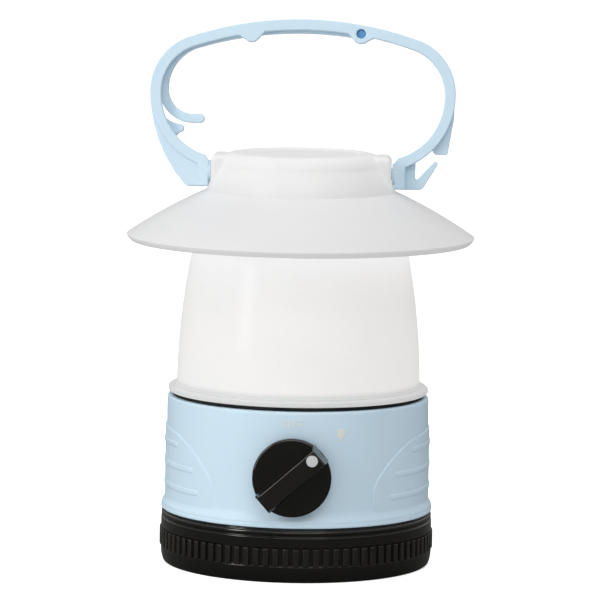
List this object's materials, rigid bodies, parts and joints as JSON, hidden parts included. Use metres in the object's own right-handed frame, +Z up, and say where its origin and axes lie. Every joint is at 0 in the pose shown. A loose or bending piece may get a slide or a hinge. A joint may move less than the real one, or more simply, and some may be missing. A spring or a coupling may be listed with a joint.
{
  "type": "camping lantern",
  "caption": "Small battery lantern: blue housing with a rotary knob, frosted globe, wide hat-shaped shade, folding bail with a hanging hook, and a twist-off base cap.",
  "frame": {"origin": "centre of the base cap's foot, on the surface that the lantern stands on", "axes": "+Z up, the knob faces -Y, the bail's pivots lie along X"},
  "size_m": [0.1164, 0.1164, 0.1823],
  "materials": {
    "blue_shell": "pale blue moulded plastic, satin gloss",
    "frosted_globe": "frosted translucent plastic, lit from inside",
    "frosted_shade": "translucent milky plastic, glossy",
    "black_gloss": "glossy black moulded plastic",
    "white_print": "white inlaid dot",
    "black_rubber": "black rubber",
    "steel": "zinc-plated steel",
    "cell_jacket": null,
    "white_inner": "white moulded plastic",
    "spring_steel": "nickel-plated spring steel",
    "board": "glass-fibre circuit board",
    "lamp_chip": "lamp package with a phosphor dome",
    "black_inner": "black moulded plastic",
    "brass": "tinned brass blade",
    "wire_black": "insulated wire",
    "wire_red": "insulated wire"
  },
  "bodies": {
    "lantern": {"body_shell": "blue_shell", "lens_seal": "black_rubber", "cap_gasket": "black_rubber", "lens": "frosted_globe", "shade": "frosted_shade", "top_cap": "frosted_shade", "shade_screws": "steel", "cell_1": "cell_jacket", "cell_2": "cell_jacket", "cell_3": "cell_jacket", "cell_4": "cell_jacket", "battery_case": "white_inner", "top_contacts": "spring_steel", "case_screws": "steel", "led_board": "board", "led": "lamp_chip", "reflector": "white_inner", "board_screws": "steel", "switch_body": "black_inner", "switch_nut": "steel", "switch_terminals": "brass", "wire_black": "wire_black", "wire_red": "wire_red"},
    "knob": {"knob": "black_gloss", "knob_dot": "white_print", "switch_shaft": "steel"},
    "contact_disc": {"contact_disc": "white_inner", "contact_straps": "spring_steel", "cell_springs": "spring_steel"},
    "battery_cap": {"battery_cap": "black_gloss", "disc_screw": "steel"},
    "bail": {"handle_bail": "blue_shell", "hook_pin": "blue_shell"},
    "hook": {"hanging_hook": "blue_shell"}
  },
  "joints": [
    {"name": "knob_turn", "type": "hinge", "parent": "lantern", "child": "knob", "pos_m": [0, -0.05, 0.03525], "axis": [0, -1, 0], "range_deg": [0, 48.5]},
    {"name": "cap_drop", "type": "slide", "parent": "lantern", "child": "contact_disc", "axis": [0, 0, -1], "range_m": [0, 0.0014]},
    {"name": "cap_turn", "type": "hinge", "parent": "contact_disc", "child": "battery_cap", "pos_m": [0, 0, 0], "axis": [0, 0, -1], "range_deg": [0, 42.1]},
    {"name": "bail_swing", "type": "hinge", "parent": "lantern", "child": "bail", "pos_m": [0, 0, 0.1311], "axis": [-1, 0, 0], "range_deg": [-100, 88]},
    {"name": "hook_turn", "type": "hinge", "parent": "bail", "child": "hook", "pos_m": [0.0191, 0.00567, 0.17725], "axis": [0, 0.9925, -0.1219], "range_deg": [0, 90]}
  ],
  "couplings": [
    {"joint": "cap_turn", "follows": "cap_drop", "rad_per_m": 523.6}
  ]
}
